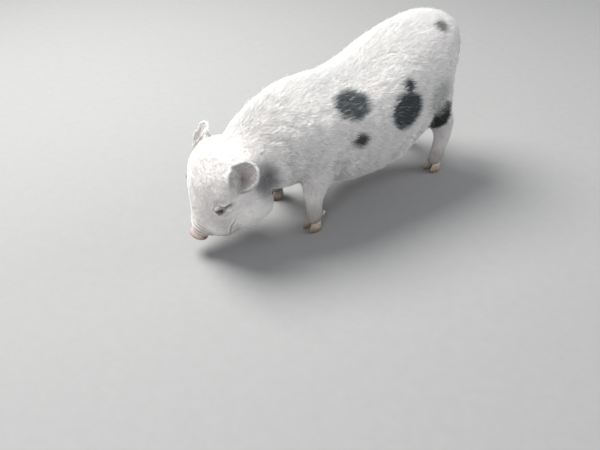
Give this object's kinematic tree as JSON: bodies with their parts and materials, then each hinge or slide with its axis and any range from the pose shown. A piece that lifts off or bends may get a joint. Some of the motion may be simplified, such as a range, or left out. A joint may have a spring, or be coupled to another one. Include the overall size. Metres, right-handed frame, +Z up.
{
  "type": "domestic pig",
  "caption": "Small pot-bellied domestic pig standing with its head lowered to feed, white bristly coat with dark round spots, upright ears, short snout, hanging thin tail",
  "frame": {"origin": "centre of the bounding box in plan, at floor level under the soles of the hooves", "axes": "+Z up, the pig faces -Y, its left side is at +X"},
  "size_m": [0.2652, 0.8014, 0.4232],
  "materials": {
    "hide": "white bristly hide with dark grey spots",
    "nose": "bare damp pinkish skin",
    "ear": "thin short-haired skin, pinkish inside",
    "eye": "dark wet eyeball",
    "horn": "dull grey-brown horn"
  },
  "bodies": {
    "root": {"head": "hide", "snout": "nose", "jaw": "hide", "neck": "hide", "torso": "hide", "tail": "hide", "ear_left": "ear", "ear_right": "ear", "eye_left": "eye", "eye_right": "eye", "leg_front_left": "hide", "leg_front_right": "hide", "leg_hind_left": "hide", "leg_hind_right": "hide", "hoof_front_left_left": "horn", "hoof_front_left_right": "horn", "hoof_front_right_left": "horn", "hoof_front_right_right": "horn", "hoof_hind_left_left": "horn", "hoof_hind_left_right": "horn", "hoof_hind_right_left": "horn", "hoof_hind_right_right": "horn", "dewclaw_front_left_left": "horn", "dewclaw_front_left_right": "horn", "dewclaw_front_right_left": "horn", "dewclaw_front_right_right": "horn", "dewclaw_hind_left_left": "horn", "dewclaw_hind_left_right": "horn", "dewclaw_hind_right_left": "horn", "dewclaw_hind_right_right": "horn"}
  },
  "joints": []
}
